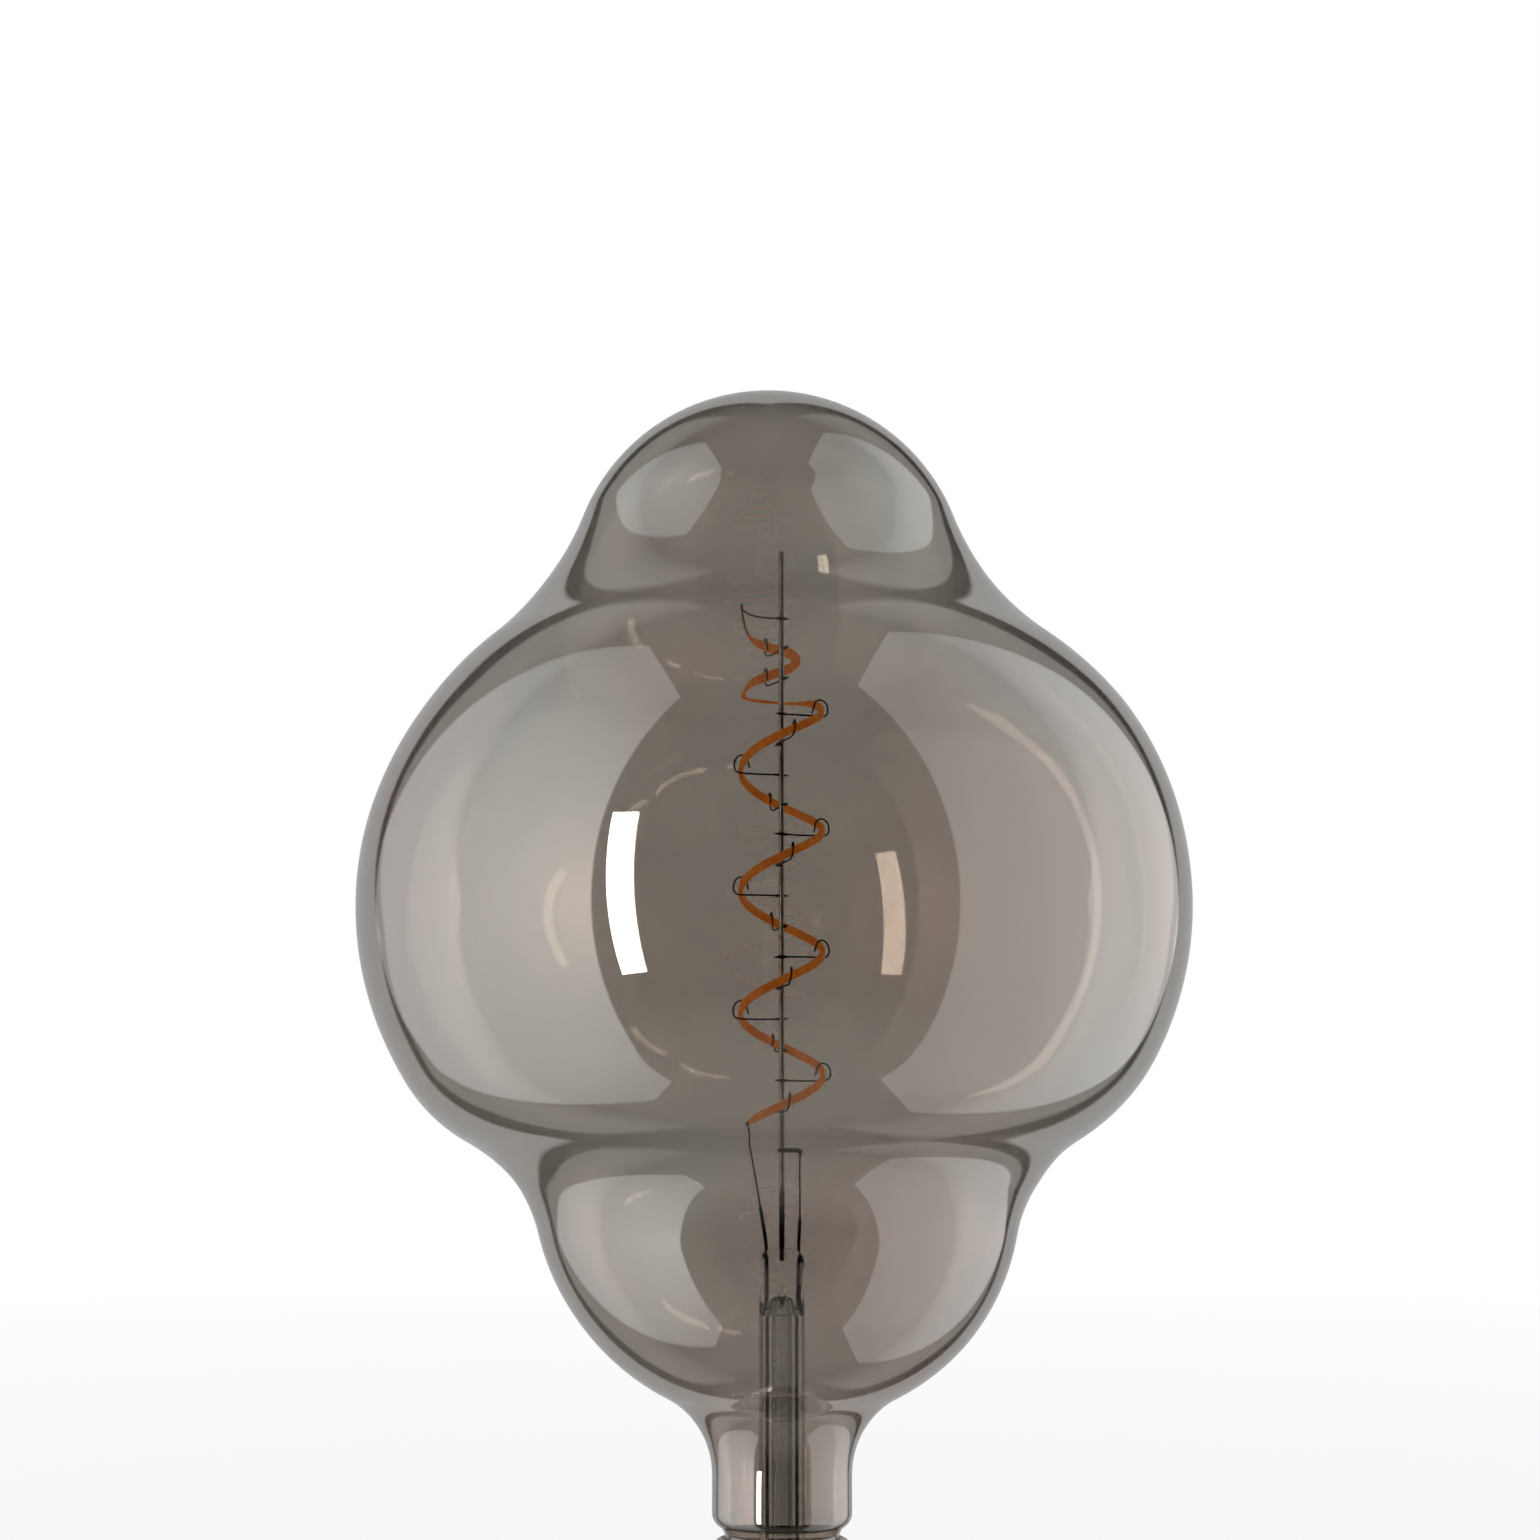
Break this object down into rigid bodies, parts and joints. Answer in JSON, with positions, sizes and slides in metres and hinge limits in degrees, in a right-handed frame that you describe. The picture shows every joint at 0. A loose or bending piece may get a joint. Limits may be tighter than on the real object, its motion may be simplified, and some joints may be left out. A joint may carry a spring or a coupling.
{
  "type": "led filament bulb",
  "caption": "Large three-lobed smoke-tinted LED filament bulb with a spiral flexible filament on a hooked support rod and a 27 mm screw cap.",
  "frame": {"origin": "centre of the centre contact's flat underside, on the bulb's axis", "axes": "+Z along the bulb's axis from the cap to the crown, +X to the right and -Y to the front as the two lead wires are seen side by side"},
  "size_m": [0.18, 0.18, 0.275],
  "materials": {
    "smoked_glass": "mirror-tinted smoke glass, glossy",
    "clear_glass": "clear, glossy",
    "rod_steel": "drawn wire, satin",
    "hook_wire": "thin drawn wire, slightly oxidised",
    "lead_wire": "nickel wire, satin",
    "filament_coating": "orange phosphor silicone, satin",
    "clip_metal": "crimped, satin",
    "cap_metal": "nickel-plated sheet, satin",
    "black_insulator": "opaque black vitreous glass",
    "contact_metal": "stamped, satin",
    "solder": "soft solder, satin",
    "cement": "cap cement, matt",
    "board": "white coated board",
    "black_component": "moulded, matt",
    "capacitor_case": "dipped film, glossy",
    "resistor_coat": "dipped, glossy",
    "hookup_wire": "tinned wire"
  },
  "bodies": {
    "root": {"board_capacitor": "capacitor_case", "bridge_rectifier": "black_component", "cap_cement": "cement", "cap_insulator": "black_insulator", "cap_shell": "cap_metal", "centre_contact": "contact_metal", "contact_solder": "solder", "contact_wire": "hookup_wire", "driver_board": "board", "exhaust_tube": "clear_glass", "filament_clip_bottom": "clip_metal", "filament_clip_top": "clip_metal", "fuse_resistor": "resistor_coat", "glass_envelope": "smoked_glass", "lead_post_left": "lead_wire", "lead_post_right": "lead_wire", "lead_wire_left": "lead_wire", "lead_wire_right": "lead_wire", "led_filament": "filament_coating", "regulator_chip": "black_component", "rod_strap": "rod_steel", "shell_wire": "hookup_wire", "stem_glass": "clear_glass", "support_rod": "rod_steel", "support_wire_01": "hook_wire", "support_wire_02": "hook_wire", "support_wire_03": "hook_wire", "support_wire_04": "hook_wire", "support_wire_05": "hook_wire", "support_wire_06": "hook_wire", "support_wire_07": "hook_wire", "support_wire_08": "hook_wire", "support_wire_09": "hook_wire", "support_wire_10": "hook_wire", "support_wire_11": "hook_wire", "support_wire_12": "hook_wire", "support_wire_13": "hook_wire", "support_wire_14": "hook_wire", "support_wire_15": "hook_wire", "support_wire_16": "hook_wire", "support_wire_17": "hook_wire"}
  },
  "joints": []
}
